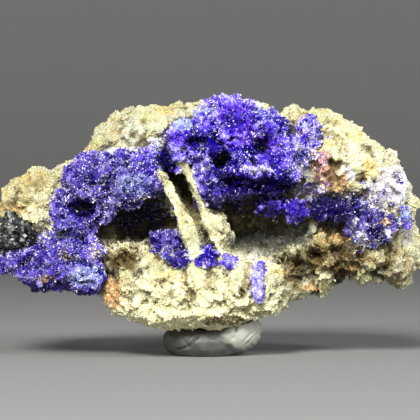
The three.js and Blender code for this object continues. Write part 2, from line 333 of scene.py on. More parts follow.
def scattering_tree():
    tree, n = geometry_tree("scattering")
    socket(tree, "Shapes", "Collection")
    for name, value in (("Spacing", 0.4), ("Size", 0.5), ("Spread", 0.5), ("Lean", 0.6)):
        socket(tree, name, "Float", value)
    socket(tree, "Seed", "Int", 1)
    asked = n.add("NodeGroupInput").outputs

    def chance(low, high, offset, data_type="FLOAT"):
        """A random value for each point; the offset keeps one row of values apart from another."""
        first, result = {"FLOAT_VECTOR": (0, 0), "FLOAT": (2, 1), "INT": (4, 2)}[data_type]
        values = {first: low, first + 1: high, "Seed": n.plus(asked["Seed"], offset)}
        return n.add("FunctionNodeRandomValue", values, data_type=data_type).outputs[result]

    values = {
        "Mesh": asked["Geometry"],
        "Distance Min": asked["Spacing"],
        "Density Max": n.math("DIVIDE", 2.5, n.times(asked["Spacing"], asked["Spacing"])),
        "Density Factor": n.named("room"),
        "Seed": asked["Seed"],
    }
    scatter = n.add("GeometryNodeDistributePointsOnFaces", values, distribute_method="POISSON").outputs
    aside = n.scaled(chance((-1, -1, -1), (1, 1, 1), 11, "FLOAT_VECTOR"), asked["Lean"])
    axis = n.vector("ADD", scatter["Normal"], aside)
    upright = n.add("FunctionNodeAlignRotationToVector", {"Vector": axis}, axis="Z").outputs[0]
    spin = n.add("ShaderNodeCombineXYZ", {2: chance(0.0, 2 * math.pi, 12)}).outputs[0]
    values = {"Rotation": upright, "Rotate By": spin}
    turned = n.add("FunctionNodeRotateRotation", values, rotation_space="LOCAL").outputs[0]

    least = n.minus(1.0, asked["Spread"])
    most = n.plus(1.0, asked["Spread"])
    swing = n.math("POWER", chance(0.0, 1.0, 13), 1.8)  # more small shapes than large ones
    factor = n.plus(least, n.times(n.minus(most, least), swing))
    patch = n.ramp(n.noise(n.add("GeometryNodeInputPosition").outputs[0], 1.5), 0.38, 0.62, 0.6, 1.2)
    uneven = chance((0.75, 0.75, 0.75), (1.3, 1.3, 1.3), 14, "FLOAT_VECTOR")
    values = {"Collection": asked["Shapes"], "Separate Children": True, "Reset Children": True}
    shapes = n.add("GeometryNodeCollectionInfo", values)
    values = {
        "Points": scatter["Points"],
        "Instance": shapes.outputs[0],
        "Pick Instance": True,
        "Instance Index": chance(0, SHAPE_COUNT, 15, "INT"),  # the last is the first shape again
        "Rotation": turned,
        "Scale": n.scaled(uneven, n.times(asked["Size"], n.times(factor, patch))),
    }
    placed = n.add("GeometryNodeInstanceOnPoints", values).outputs[0]
    # glint picks the crystals that are painted with a highlight, and jitters the edges of painted spots
    for name, offset in (("tone", 21), ("glint", 22)):
        placed = n.stored(placed, name, chance(0.0, 1.0, offset), "INSTANCE")
    real = n.add("GeometryNodeRealizeInstances", {"Geometry": placed}).outputs[0]
    flat = n.add("GeometryNodeSetShadeSmooth", {"Geometry": real, "Shade Smooth": False}).outputs[0]
    n.finish_geometry(flat, asked["Material"])
    return tree


def shape_from(name, corners):
    """A small closed shape: the hull of its corners, about one unit tall with its root below z = 0."""
    hull = bmesh.new()
    for corner in corners:
        hull.verts.new(corner)
    made = bmesh.ops.convex_hull(hull, input=hull.verts)
    spare = made["geom_interior"] + made["geom_unused"]
    spare = {item for item in spare if isinstance(item, bmesh.types.BMVert)}
    bmesh.ops.delete(hull, geom=list(spare), context="VERTS")
    bmesh.ops.recalc_face_normals(hull, faces=hull.faces)
    mesh = bpy.data.meshes.new(name)
    hull.to_mesh(mesh)
    hull.free()
    return bpy.data.objects.new(name, mesh)


def blade(name, wide, ridge, turn, skew):
    """A crystal like a wedge: a root edge and a slanting top edge across it."""
    root = [(-wide, 0.0, -0.3), (wide, 0.0, -0.3)]
    across = (ridge * math.cos(turn), ridge * math.sin(turn))
    edge = [(skew - across[0], -across[1], 0.75), (skew + across[0], across[1], 1.0)]
    return shape_from(name, root + edge)


def chip(name, seed):
    """An angular broken grain: five corners pushed about."""
    rng = np.random.default_rng(seed)
    corners = [(0.5, 0.0, -0.3), (-0.3, 0.45, -0.3), (-0.3, -0.45, -0.3), (0.2, 0.3, 0.4), (-0.1, -0.3, 0.5)]
    return shape_from(name, [[value + rng.uniform(-0.14, 0.14) for value in corner] for corner in corners])


def cube(name, lean):
    """A cube leaning a little out of square."""
    spans = (-0.42, 0.42)
    return shape_from(name, [(x + lean * z, y, z) for x in spans for y in spans for z in spans])


def needle(name, bend, lean):
    """A thin hair with a three-cornered root."""
    root = [(-0.035, -0.03, -0.2), (0.035, -0.03, -0.2), (0.0, 0.04, -0.2)]
    return shape_from(name, root + [(bend, lean, 1.0)])


def collection_of(name, make, settings):
    """A collection of shapes, one for each row of settings."""
    made = bpy.data.collections.new(name)
    for index, row in enumerate(settings):
        made.objects.link(make(f"{name}_{index}", *row))
    return made


# half width of the root, half length of the top edge, its turn in radians, how far it stands aside
BLADE_SETTINGS = (
    (0.42, 0.34, 1.5, 0.0),
    (0.36, 0.26, 1.2, 0.08),
    (0.30, 0.40, 1.9, 0.05),
    (0.46, 0.30, 1.0, -0.1),
    (0.34, 0.22, 1.6, -0.05),
)
BLADES = collection_of("blade", blade, BLADE_SETTINGS)
NEEDLES = collection_of("needle", needle, [(0.1 * (i - 2), 0.08 * (i % 3 - 1)) for i in range(SHAPE_COUNT)])
CHIPS = collection_of("chip", chip, [(40 + i,) for i in range(SHAPE_COUNT)])
CUBES = collection_of("cube", cube, [(lean,) for lean in (0.0, 0.05, -0.05, 0.1, 0.0)])
SCATTERING = scattering_tree()


def scattered(name, ground, material, shapes, spacing, size, lean, seed, spread=0.5, room=None):
    """Small shapes over a copy of the ground, as thick as room says, or the ground's own room."""
    thing = link(name, ground.data.copy())
    if room is not None:
        store(thing, "room", room)
    values = {
        "Shapes": shapes,
        "Spacing": spacing,
        "Size": size,
        "Spread": spread,
        "Lean": lean,
        "Seed": seed,
        "Material": material,
    }
    return run_tree(thing, SCATTERING, values)


# ---- Colours: shader groups shared by the materials ----
def colour_group(name, masks):
    """A shader group that turns masks into a colour, a roughness and a bump height."""
    tree = bpy.data.node_groups.new(name, "ShaderNodeTree")
    socket(tree, "Place", "Vector")
    for label in masks:
        socket(tree, label, "Float", 0.0)
    for label, kind in (("Color", "Color"), ("Roughness", "Float"), ("Height", "Float")):
        socket(tree, label, kind, direction="OUTPUT")
    n = Nodes(tree)
    asked = n.add("NodeGroupInput").outputs
    return tree, n, asked, n.scaled(asked["Place"], PER_METRE)


STAIN_START = 0.40
UNPAINTED = (0.02, 0.15)  # below these levels there is no stain, however uneven


def colour_under_spot(n, colour, level, uneven, full, cover, tone):
    """The colour under a painted spot, be it stain, painted shade or painted light: its uneven level begins
    to show at STAIN_START and covers most at full.
    """
    mask = n.times(n.ramp(n.plus(level, uneven), STAIN_START, full, 0.0, cover), n.ramp(level, *UNPAINTED))
    return n.mix(mask, colour, tone)


# mask name, two tones of the stain, how strongly it covers; the darkest mask is painted shade
ROCK_TONES = (
    ("buff", (0.42, 0.36, 0.16), (0.62, 0.56, 0.30), 0.85),
    ("cream", (0.80, 0.74, 0.40), (0.90, 0.87, 0.63), 0.95),
    ("tan", (0.13, 0.10, 0.045), (0.44, 0.36, 0.19), 0.9),
    ("green", (0.47, 0.50, 0.40), (0.68, 0.70, 0.57), 0.85),
    ("white", (0.86, 0.87, 0.88), (0.62, 0.60, 0.72), 0.95),
    ("ochre", (0.60, 0.38, 0.08), (0.82, 0.66, 0.24), 0.85),
    ("olive", (0.055, 0.040, 0.014), (0.36, 0.27, 0.10), 0.92),
    ("grey", (0.04, 0.044, 0.038), (0.17, 0.18, 0.16), 0.92),
    ("rust", (0.48, 0.22, 0.07), (0.93, 0.62, 0.28), 0.85),
    ("red", (0.52, 0.13, 0.09), (0.98, 0.65, 0.55), 0.9),
    ("violet", (0.13, 0.08, 0.50), (0.45, 0.42, 0.72), 0.85),
    ("deep_shade", (0.008, 0.007, 0.016), (0.032, 0.027, 0.046), 0.95),
)
ROCK_MASKS = ["relief", "tone", "shelter"] + [stain[0] for stain in ROCK_TONES]


def rock_colours():
    tree, n, asked, place = colour_group("rock colours", ROCK_MASKS)
    broad = n.noise(place, 3.2, 5.0, 0.6)
    fine = n.noise(place, 0.5, 4.0, 0.65)
    crumb = n.noise(place, 0.24, 3.0, 0.7)
    colour = n.mix(n.ramp(broad, 0.38, 0.62), (0.56, 0.535, 0.26), (0.61, 0.615, 0.43))
    colour = n.mix(n.ramp(fine, 0.38, 0.25), colour, (0.45, 0.36, 0.14))
    colour = n.mix(n.ramp(crumb, 0.42, 0.30, 0.0, 0.75), colour, (0.26, 0.19, 0.075))
    # Painted shade: the rock is darkened nearly to black where it is shut in by the shapes around it, in the
    # caves, slots and deep hollows
    shut_in = n.plus(asked["shelter"], n.about_zero(broad, 0.4))
    recess_shade_colour = n.mix(n.ramp(fine, 0.4, 0.6), (0.006, 0.005, 0.008), (0.060, 0.047, 0.034))
    colour = n.mix(n.ramp(shut_in, 0.26, 0.46, 0.0, 0.93), colour, recess_shade_colour)
    # Painted shade: the rock is darkened brown in its hollows, where its relief is low, less where the broad
    # noise is high; laid on again after the stains
    hollow = n.times(n.ramp(asked["relief"], 0.0, -0.34), n.ramp(broad, 0.38, 0.58, 1.0, 0.35))
    colour = n.mix(n.times(hollow, 0.8), colour, (0.18, 0.12, 0.045))
    # The stains in their order; some are painted light in shaded places, and the darkest is painted shade
    for index, (name, deep, light, cover) in enumerate(ROCK_TONES):
        drift = n.vector("ADD", place, (7.0 * index, 3.0 * index, -5.0 * index))
        ragged = n.minus(n.noise(drift, 1.1, 5.0, 0.7), 0.5)
        crumbled = n.minus(n.noise(drift, 0.28, 3.0, 0.6), 0.5)
        uneven = n.times(n.plus(ragged, crumbled), 1.7)
        tone = n.mix(n.ramp(n.noise(drift, 0.45, 3.0), 0.35, 0.65), deep, light)
        colour = colour_under_spot(n, colour, asked[name], uneven, 0.80, cover, tone)
    colour = n.mix(n.times(hollow, 0.78), colour, (0.14, 0.098, 0.030))
    colour = n.mix(n.ramp(crumb, 0.44, 0.34, 0.0, 0.4), colour, (0.24, 0.17, 0.07))
    specks = n.cells(place, 3.4)
    speck = n.times(n.ramp(specks["Distance"], 0.30, 0.16), n.ramp(n.first_part(specks["Color"]), 0.68, 0.80))
    colour = n.mix(speck, colour, (0.10, 0.07, 0.035))
    dust = n.noise(place, 0.18, 2.0, 0.7)
    brightness = n.plus(0.15, n.plus(n.times(fine, 0.35), n.times(dust, 1.4)))
    brightness = n.plus(brightness, n.about_zero(asked["tone"], 0.42))
    grey = n.add("ShaderNodeCombineColor", {0: brightness, 1: brightness, 2: brightness}).outputs[0]
    colour = n.mix(1.0, colour, grey, "MULTIPLY")
    height = n.times(n.noise(place, 0.25, 4.0, 0.65), 0.22 / PER_METRE)
    roughness = n.ramp(fine, 0.3, 0.7, 0.85, 0.55)
    n.add("NodeGroupOutput", {"Color": colour, "Roughness": roughness, "Height": height})
    return tree


# mask name and two tones of what colours a crust
CRUST_TONES = (
    ("violet", (0.05, 0.008, 0.36), (0.16, 0.04, 0.66)),
    ("frost", (0.22, 0.19, 0.58), (0.72, 0.67, 0.86)),
    ("white", (0.40, 0.37, 0.66), (0.95, 0.90, 0.92)),
    ("sky", (0.21, 0.26, 0.56), (0.60, 0.68, 0.86)),
    ("cream", (0.62, 0.50, 0.28), (0.86, 0.82, 0.66)),
    ("rust", (0.66, 0.38, 0.12), (0.90, 0.70, 0.38)),
    # painted shade, near black
    ("deep_shade", (0.003, 0.0008, 0.035), (0.007, 0.002, 0.085)),
)
CRUST_MASKS = ["relief", "tone", "glint", "edge", "shelter", "dull"] + [tone[0] for tone in CRUST_TONES]
# The linarite's own blues, from the deepest tone to the palest
BLUES = (
    (0.0, (0.003, 0.0002, 0.16)),
    (0.28, (0.0145, 0.001, 0.295)),
    (0.52, (0.057, 0.015, 0.475)),
    (0.78, (0.165, 0.105, 0.67)),
    (1.0, (0.38, 0.33, 0.86)),
)


def linarite_colours():
    tree, n, asked, place = colour_group("linarite colours", CRUST_MASKS)
    broad = n.noise(place, 1.6, 4.0, 0.6)
    spark = n.minus(n.noise(place, 0.15, 2.0, 0.7), 0.5)
    # Painted shade and light: the tone is lowered in the crust's hollows and where it is shut in, and raised
    # on the tops of its lumps
    tone = n.plus(n.times(asked["tone"], 0.6), n.times(broad, 1.2))
    for more in (
        n.about_zero(n.noise(place, 4.0, 3.0), 0.9),
        n.times(n.noise(place, 0.55, 2.0), 0.9),
        n.times(asked["relief"], 0.75),
        n.times(spark, 1.1),
    ):
        tone = n.plus(tone, more)
    tone = n.minus(tone, n.ramp(asked["shelter"], 0.18, 0.5, 0.0, 0.6))
    blues = n.add("ShaderNodeValToRGB", {0: n.minus(tone, 0.89)})
    elements = blues.color_ramp.elements
    for index, (spot, tint) in enumerate(BLUES):
        stop = elements[index] if index in (0, 1) else elements.new(spot)
        stop.position = spot
        stop.color = (*tint, 1.0)
    values = {
        "Saturation": n.minus(1.0, n.times(asked["dull"], 0.03)),
        "Value": n.minus(1.0, n.times(asked["dull"], 0.46)),
        "Color": blues.outputs[0],
    }
    colour = n.add("ShaderNodeHueSaturation", values).outputs[0]
    # Painted highlights: a share of the crystals, picked by glint and more of them on the tops of the lumps,
    # is painted pale lavender to white as glints
    high = n.plus(n.plus(asked["glint"], n.times(asked["relief"], 0.18)), n.times(spark, 0.6))
    high = n.plus(high, n.about_zero(n.noise(place, 2.2, 3.0), 0.9))
    frost = n.mix(n.ramp(asked["tone"], 0.5, 0.85), (0.50, 0.46, 0.82), (1.0, 0.93, 0.96))
    colour = n.mix(n.ramp(high, 0.67, 0.80, 0.0, 0.95), colour, frost)
    rim = n.plus(n.plus(asked["edge"], n.about_zero(asked["tone"], 0.9)), n.about_zero(broad, 1.6))
    pale = n.mix(n.ramp(broad, 0.4, 0.6), (0.34, 0.42, 0.80), (0.80, 0.78, 0.70))
    colour = n.mix(n.ramp(rim, 0.75, 1.05, 0.0, 0.85), colour, pale)
    for index, (name, deep, light) in enumerate(CRUST_TONES):
        drift = n.vector("ADD", place, (5.0 * index + 2.0, -3.0 * index, 4.0 * index))
        ragged = n.about_zero(n.noise(drift, 0.8, 4.0, 0.7), 1.4)
        uneven = n.plus(n.about_zero(asked["glint"], 0.7), ragged)
        tone = n.mix(asked["tone"], deep, light)
        colour = colour_under_spot(n, colour, asked[name], uneven, 0.70, 0.97, tone)
    height = n.times(n.noise(place, 0.12, 2.0), 0.02 / PER_METRE)
    roughness = n.plus(0.08, n.times(asked["tone"], 0.2))
    n.add("NodeGroupOutput", {"Color": colour, "Roughness": roughness, "Height": height})
    return tree


def blank_material(name):
    """A material without nodes, what adds them, and the place that its textures lie at, in metres."""
    made = bpy.data.materials.new(name)
    made.use_nodes = True
    made.node_tree.nodes.clear()
    n = Nodes(made.node_tree)
    return made, n, n.add("ShaderNodeTexCoord").outputs["Object"]


def dressed_material(name, group, masks, settings):
    """A material whose colour group reads the mesh's attributes of the masks' names."""
    made, n, place = blank_material(name)
    values = {"Place": place, **{mask: n.attribute(mask) for mask in masks}}
    tint = n.add("ShaderNodeGroup", values, node_tree=group).outputs
    normal = n.add("ShaderNodeBump", {"Height": tint["Height"], "Distance": 1.0}).outputs[0]
    values = {"Base Color": tint["Color"], "Roughness": tint["Roughness"], "Normal": normal}
    n.finish_surface({**values, **settings})
    return made


ROCK = dressed_material("rock", rock_colours(), ROCK_MASKS, {"IOR": 1.5, "Specular IOR Level": 0.28})
LINARITE = dressed_material(
    "linarite", linarite_colours(), CRUST_MASKS, {"IOR": 1.83, "Specular IOR Level": 0.24}
)

# ---- Stains, painted shade and painted light: spots as (x, z, half width, half height, strength), in the front view ----
ROCK_STAINS_AND_SHADING = {
    # buff is the rock's own colour, and painted light on the shaded wall between the two thin walls
    "buff": (
        (-22.8, 20.4, 6, 3.6, 0.8), (-17.4, 22.6, 3, 2, 0.6), (-2.4, 17.6, 1.5, 3, 1),
        (24.4, 11.4, 2.4, 2.8, 0.85),
    ),
    # cream is the rock's own colour, and painted light where it lightens shaded places: the cave floors, the
    # thin walls, under the knob, the lip's underside and the right rim
    "cream": (
        (-2.6, 7.2, 11, 4.4, 0.95), (-3, 4.8, 11, 1.6, 0.9), (19, 27, 6, 4.4, 0.7),
        (26.2, 17.6, 1.4, 5, 0.8), (-11.6, 14.4, 2.6, 0.9, 0.6), (-8.2, 12.8, 1.2, 1.6, 0.7),
        (-10.4, 13.8, 3.2, 1, 0.8), (-1.7, 12.6, 1, 2.4, 0.6), (-6.6, 23.2, 1, 1.4, 1),
        (-4.6, 19.6, 1.2, 2.4, 1), (-3, 16.2, 1.2, 2.2, 0.55), (-1.9, 21.8, 0.8, 2, 0.9),
        (-0.6, 17.8, 0.8, 2, 0.9), (5.4, 11.6, 4.6, 1.2, 0.9), (-21.2, 17.2, 3, 1.8, 1),
        (-19.8, 20, 2, 2.6, 0.75), (-25.2, 20.4, 1.4, 1.4, 0.6), (1.2, 16, 1.3, 2.6, 0.8),
        (9.8, 30.6, 1.6, 1.4, 0.7), (12.8, 14.6, 1.2, 0.8, 0.7), (13.9, 9.9, 2.2, 1.2, 0.6),
    ),
    "tan": (
        (-2.6, 19, 1.4, 2.4, 0.5), (24.2, 11.2, 2.4, 2.4, 0.75), (-4.1, 24.9, 0.9, 0.8, 0.8),
        (4, 19.2, 2.4, 1.4, 0.6), (-9.4, 12, 1.5, 1.2, 0.5), (14.6, 13.8, 3.4, 2.2, 0.6),
        (20, 12.4, 3.2, 2.2, 0.5),
    ),
    "red": ((13.8, 24.2, 1.3, 2, 0.95), (14.5, 22.9, 1.6, 1.3, 0.9)),
    "rust": (
        (-24.3, 18.6, 1.7, 0.6, 0.75), (15.8, 21.9, 1.8, 1.3, 0.95), (-12, 8.1, 1.4, 2, 1.05),
        (-10.8, 9.8, 1, 0.6, 0.5), (-7, 13, 0.5, 1.2, 0.6), (12.7, 8.6, 1.4, 0.5, 0.9),
        (0, 32.7, 1.3, 0.6, 0.7), (-4.6, 30.4, 0.6, 0.5, 0.7), (16.4, 15, 1.6, 0.7, 0.8),
        (14.2, 15.2, 0.5, 1, 0.6), (17.8, 11.4, 1.4, 0.8, 0.6), (17.2, 27.4, 0.7, 0.6, 0.4),
    ),
    "ochre": (
        (-22.4, 22.6, 2.4, 1.2, 0.55), (-26, 19, 1.2, 3, 0.55), (-5.7, 31.2, 1.8, 0.8, 0.7),
        (-11.8, 28.2, 1.2, 2.2, 0.5), (-14.6, 26.2, 1.4, 0.9, 0.6), (-4.9, 10.4, 2.8, 0.9, 0.6),
        (12, 30.3, 2, 1.4, 0.5), (16.2, 29.4, 1.5, 1.2, 0.5), (18.1, 27.6, 1.6, 1.3, 0.6),
        (15.2, 26.6, 1.2, 0.7, 0.6), (20, 23.6, 1.4, 1.5, 0.75), (14, 14.6, 2, 1, 0.6),
        (-1.5, 7.6, 4, 1, 0.3), (9, 10.6, 2, 0.8, 0.5), (18, 11.8, 3, 1, 0.4), (-23.6, 16.3, 2.2, 1, 0.6),
        (-20, 15.6, 2, 0.6, 0.6),
    ),
    "green": (
        (-9.9, 28.2, 2.6, 2.6, 0.85), (-10, 27.6, 7, 4.4, 0.45), (19.6, 25.6, 4.4, 3.4, 0.4),
        (15.6, 25.4, 2, 0.9, 0.6), (24.8, 11, 2.4, 3.2, 0.45), (-7, 6.4, 3, 1, 0.3), (21, 20.2, 2, 1, 0.4),
    ),
    "white": (
        (23, 21.6, 2.8, 3, 0.9), (20.8, 20.4, 2.4, 1.8, 0.6), (11, 23.8, 1.4, 1.2, 0.85),
        (17, 22.8, 1.6, 1.2, 0.8), (12.6, 20.9, 2.4, 1.2, 0.7), (5.2, 31.9, 2, 0.8, 0.7),
        (24.4, 26, 2, 2, 0.5), (-8.4, 25.6, 3.4, 0.9, 0.9), (-11.8, 25.6, 2.6, 0.7, 0.85),
        (-6.7, 27, 1.4, 0.8, 0.6), (5.8, 12.4, 3.4, 0.8, 0.5), (25, 15.4, 1.2, 1.6, 0.6),
    ),
    "violet": (
        (12.4, 27.2, 2.2, 2.8, 0.6), (13.2, 24.4, 1.4, 1.4, 0.6), (12.8, 21, 2.2, 1.2, 0.45),
        (20.6, 20.2, 2, 1.6, 0.5), (23, 20, 1.6, 1.2, 0.4), (-8, 25.3, 3, 0.7, 0.5),
        (-4.6, 27.4, 1.2, 1.6, 0.5),
    ),
    "olive": (
        (14.6, 12.4, 4.4, 2.6, 0.75), (10.4, 12, 1.6, 1.6, 0.8), (17, 10.8, 2.4, 1.2, 0.7),
        (20.6, 12.6, 3.4, 1.6, 0.6), (10.4, 9.6, 1.6, 1, 0.6), (1.9, 4.8, 3, 0.8, 0.9),
        (-11.4, 13.6, 2.4, 0.9, 0.5), (-10.3, 12.2, 1.6, 1.3, 0.75), (4.6, 11.6, 3, 1.6, 0.25),
        (22.4, 8.6, 3, 1.2, 0.6), (-25.6, 14.6, 1.6, 1.2, 0.6), (2.2, 16, 1.6, 2.4, 0.4),
        (6, 17, 4, 2.6, 0.6),
    ),
    "grey": (
        (6.2, 14.6, 4.8, 1.6, 0.9), (11, 15.4, 2.2, 1.6, 0.8), (17.5, 18, 4.5, 2.2, 0.6),
        (-26, 16.2, 2, 1.2, 0.5), (25.2, 9.4, 1.4, 1.6, 0.4),
    ),
    # Painted shade: near black in the caves, the slots, the pits and under the overhangs
    "deep_shade": (
        (-9.6, 18, 5.4, 2.3, 0.9), (-5.4, 24.4, 0.9, 3, 0.95), (6.2, 18.9, 5.6, 1.4, 0.75),
        (16.8, 19.4, 4.4, 2, 0.95), (13.6, 12.8, 1, 0.9, 0.95), (16, 12.9, 0.9, 0.6, 0.8),
        (10, 12.2, 0.4, 1, 0.7), (-10.2, 11.8, 0.8, 0.6, 0.6), (-7.9, 7.3, 0.3, 0.3, 0.9),
        (-6.4, 7, 0.3, 0.25, 0.9), (3.9, 8.5, 0.4, 0.6, 0.7), (15.7, 24.3, 1.1, 0.5, 1),
        (23.6, 22.6, 0.3, 0.5, 0.6), (18.8, 16.6, 2.4, 1.2, 0.7), (25.2, 17.4, 0.5, 0.4, 0.6),
    ),
}
CRUST_STAINS_AND_SHADING = {
    "dull": (
        (-13.6, 21, 8, 6, 0.9), (-20.6, 12, 8, 6, 0.75), (-4.8, 13.4, 3.2, 3.6, 0.9),
        (20.4, 17, 3.6, 3.6, 1.2), (0.8, 20.8, 3, 2.4, 0.8),
    ),
    "violet": (
        (3.4, 30.4, 3.4, 1.8, 0.6), (4.8, 27.9, 2.2, 1.4, 0.8), (7.8, 26.4, 1.8, 3, 0.65),
        (-3.6, 27.4, 1.6, 1.2, 0.6), (1.2, 25.8, 2.6, 2, 0.45), (6, 22.4, 2, 0.8, 0.5),
        (-12, 23.6, 2, 1.4, 0.5), (-16.8, 23, 1.6, 1.2, 0.5), (-20.6, 13, 2, 1.2, 0.5),
        (0.3, 12.3, 1.4, 1.2, 0.7), (-4.8, 13.4, 2.6, 3, 0.45), (10.8, 18.6, 1.6, 1.5, 0.6),
        (20.2, 16.8, 2.6, 2.2, 0.5),
    ),
    # Pale lavender patches of the crust, with a painted highlight along the rim of the ledge at x = 6.2, z =
    # 23.5
    "frost": (
        (-0.8, 24.1, 1.3, 2, 0.75), (-4.4, 26, 1, 0.8, 0.7), (4, 24.6, 0.9, 0.6, 0.75),
        (6.2, 23.5, 2.4, 0.6, 0.85), (6, 28, 0.6, 0.5, 0.75), (9.8, 26, 1.4, 3.4, 0.55),
        (12.4, 27, 2, 3, 0.65), (0.4, 28.8, 1.8, 1.2, 0.45), (-16.6, 24.8, 2, 0.8, 0.55),
        (-10, 24.6, 2.4, 0.6, 0.7), (-13.4, 17.4, 1.6, 0.8, 0.5), (-18.6, 15.8, 1.2, 1, 0.5),
        (-20.4, 12, 2.2, 0.8, 0.4), (6, 9.8, 1.2, 2.8, 1), (2.5, 12.2, 1.2, 1, 0.9),
        (-12.6, 22.6, 1.4, 1.2, 0.5), (-15.4, 22, 1, 1.4, 0.45), (-9.6, 20.6, 2, 0.8, 0.45),
        (-17.4, 14.4, 2.4, 0.8, 0.4), (-22.8, 11.8, 1.4, 0.8, 0.45), (18.2, 20, 1.4, 0.6, 0.6),
        (20.4, 18.8, 2.2, 0.8, 0.7), (18.4, 15.8, 0.9, 1, 0.7), (21.6, 15.4, 1, 0.7, 0.7),
        (9.6, 17.6, 1, 0.5, 0.7),
    ),
    "sky": (
        (-3.6, 29.4, 2, 1.2, 0.95), (-1.6, 31, 2.8, 0.8, 0.9), (7.2, 30.7, 2, 0.8, 0.6),
        (-9.4, 21.6, 2.6, 1.8, 0.8), (-6.4, 19.6, 2.4, 0.8, 0.85), (-13.4, 26.2, 3, 0.6, 0.6),
        (-15.4, 10.2, 2.6, 2, 0.85), (-18.4, 15.6, 1.2, 0.6, 0.6), (5.2, 23, 1.4, 1, 0.35),
        (24.3, 18, 1.2, 1.4, 0.85), (-17, 16.6, 1.8, 0.7, 0.4), (12.6, 28, 1.2, 1.2, 0.4),
        (15.6, 18.6, 1.8, 1.6, 0.35),
    ),
    # White patches of the crust, with a painted highlight along the rim of the ledge at x = 6.2, z = 23.5
    "white": (
        (-13.4, 21.6, 7, 5, 0.46), (-20.6, 12, 7, 4.6, 0.46), (3.4, 26, 9, 6, 0.19),
        (17.9, 16.9, 0.6, 1.2, 1.1), (18.7, 15.2, 0.8, 0.7, 1.2), (20.2, 14.6, 1.3, 0.5, 1.1),
        (22.3, 15.6, 0.6, 1.3, 1.2), (20.2, 16.7, 1.2, 0.25, 0.9), (21.4, 18.4, 0.9, 0.5, 0.8),
        (20.2, 19.2, 2.2, 0.6, 0.8), (10.9, 19.6, 1, 0.3, 0.5), (6.2, 23.5, 2.4, 0.5, 0.95),
        (-6.3, 26.9, 1.6, 0.6, 0.6), (-4.8, 14, 2.2, 1.4, 0.5), (11.4, 23.6, 1.4, 1.4, 0.7),
        (5.4, 27.8, 0.5, 0.4, 0.6), (-0.6, 23.4, 0.9, 0.6, 0.5), (-4.6, 29.4, 1.2, 0.5, 0.5),
        (12.4, 26.6, 1.8, 2.8, 0.4), (6, 10.6, 0.5, 0.6, 0.6),
    ),
    "cream": (
        (-17.8, 12.8, 1.3, 1, 0.7), (-14.2, 13.4, 1, 1.6, 0.7), (20.4, 18, 2, 0.8, 0.4),
        (-8.2, 20.2, 1, 0.6, 0.5), (-1.2, 31.3, 2.4, 0.6, 0.5), (6.2, 23.2, 1.6, 0.3, 0.5),
        (12.2, 27.4, 1.8, 2.6, 0.5),
    ),
    "rust": (
        (-20.3, 9.9, 1.6, 0.6, 0.85), (21.9, 16.9, 0.8, 0.6, 0.95), (13.2, 25.6, 0.7, 1.6, 0.6),
        (13.4, 23.6, 0.9, 1, 0.8), (11.4, 28.4, 0.9, 0.9, 0.35),
    ),
    # Painted shade: near black in the crust's pits and crevices and under the crown, and a little darker over
    # the shoulder and foot
    "deep_shade": (
        (-13.4, 21.6, 7, 5, 0.3), (-20.6, 12, 7, 4.6, 0.32), (-4.8, 13.4, 3.2, 3.6, 0.46),
        (-4.7, 24.6, 0.9, 1.2, 1), (20.4, 17, 3.2, 3.2, 0.46), (10.8, 18.6, 1.6, 1.5, 0.56),
        (1.55, 24.8, 1.2, 1.15, 1.3), (6.5, 26.6, 1, 1, 1.3), (1, 27, 0.9, 0.45, 0.85),
        (-1.5, 27, 1.4, 0.6, 0.8), (5.3, 24.5, 0.4, 0.45, 0.7), (-12.2, 21.8, 1.2, 1.1, 0.5),
        (-15.6, 18.8, 1.7, 1.3, 1), (15.2, 18.6, 3.2, 2.4, 1.25), (20.4, 17.5, 1.5, 0.7, 0.75),
        (20.4, 15.9, 1.4, 0.6, 0.9), (17.8, 19.2, 1.4, 1, 0.9), (7.4, 19.4, 1.5, 1.8, 0.95),
        (2.8, 21.9, 1.9, 1.2, 0.95), (6.6, 20.9, 5, 1.6, 1.4), (1.4, 19.8, 2.2, 1.2, 1),
        (9, 18.4, 0.9, 1.6, 0.7), (10.8, 17.4, 1.4, 0.5, 0.6), (20.2, 14.6, 1.4, 0.5, 0.5),
        (-5.5, 24.2, 0.8, 2.8, 0.9), (-20.4, 8.9, 5.4, 0.8, 0.9), (-16, 8.2, 4, 0.6, 0.9),
    ),
}
# Loose linarite crystals on the rock, as spots whose strength is how thickly they lie
FLECKS = (
    (12.4, 26.2, 2.4, 3.8, 0.5), (12.6, 21.6, 2.8, 1.6, 0.4), (19.1, 21.8, 0.6, 0.5, 0.9),
    (23.7, 22.6, 0.45, 0.7, 0.9), (21.6, 20.2, 0.5, 0.9, 0.9), (22.4, 19.2, 0.8, 0.5, 0.6),
    (24.2, 17.6, 1.4, 1.6, 0.45), (20.4, 19.4, 2.4, 1.2, 0.3), (-6.4, 26.7, 1.8, 0.6, 0.5),
    (-4.9, 27.6, 0.9, 0.9, 0.8), (5, 19.5, 5, 1.6, 0.5), (7.5, 18.6, 1.8, 1.6, 0.8),
    (15.6, 18.8, 3, 1.6, 0.3), (-9.5, 17.8, 4.5, 1.8, 0.6), (-6.2, 21.2, 0.8, 1.4, 0.9),
    (-1.6, 19, 0.5, 1.2, 0.8),
)
# Where fine needles line the cave, and how they are coloured
NEEDLE_BEDS = (
    (6.2, 14, 4.4, 1.5, 0.9), (10.6, 15, 2, 1.4, 0.6), (-1.2, 14.6, 0.9, 0.7, 0.9),
)
NEEDLE_STAINS = {"grey": ((7.0, 15.2, 7.0, 1.9, 1.0),), "white": ((5.0, 12.8, 4.0, 1.0, 0.7),)}
SPOT_EDGE = (0.55, 1.35)  # a painted spot fades out between these distances, as distances() gives them
FRONT_EDGE = 2.0  # and all painted spots between these depths
BACK_EDGE = 5.0
